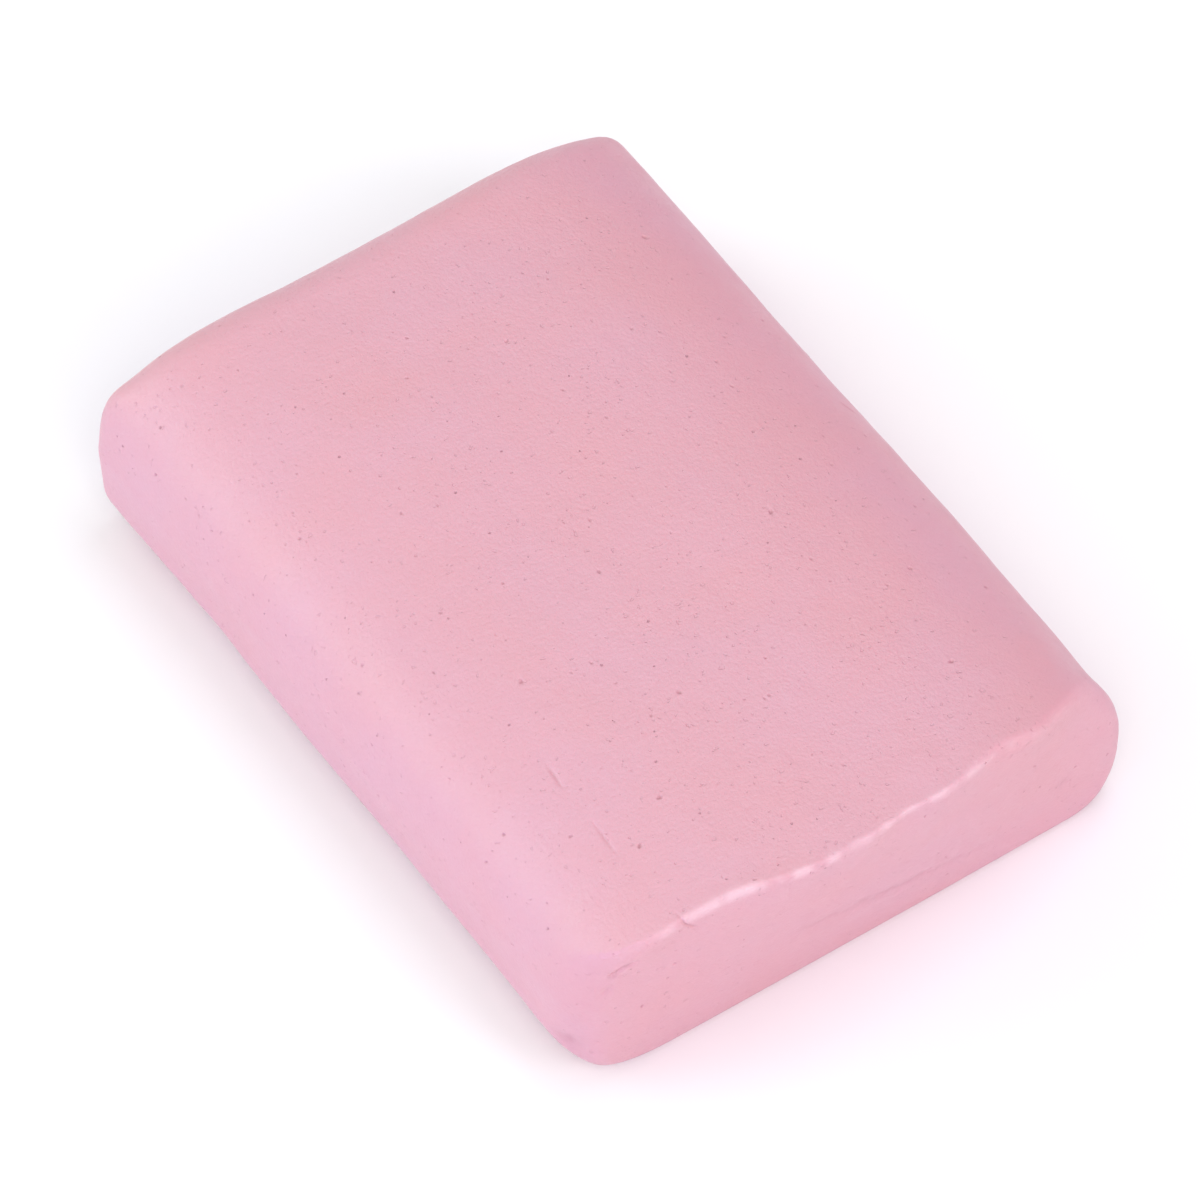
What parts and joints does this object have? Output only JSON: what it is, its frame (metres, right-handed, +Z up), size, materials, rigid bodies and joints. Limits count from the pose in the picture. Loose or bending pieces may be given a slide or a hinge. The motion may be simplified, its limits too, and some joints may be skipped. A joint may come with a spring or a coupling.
{
  "type": "clay bar",
  "caption": "Small block of soft pink detailing clay cut from an extruded strip, with a crowned top, rolled-over long edges, two cut ends and a flat underside.",
  "frame": {"origin": "under the middle of the bar, on the surface that it rests on", "axes": "+Z up; +Y along the strip that the bar is cut from, away from the bulging front cut; +X across the strip, to the right as the front cut is faced"},
  "size_m": [0.05, 0.0702, 0.0195],
  "materials": {
    "clay": "matte, with the faint waxy sheen of soft putty"
  },
  "bodies": {
    "root": {"clay_bar": "clay"}
  },
  "joints": []
}
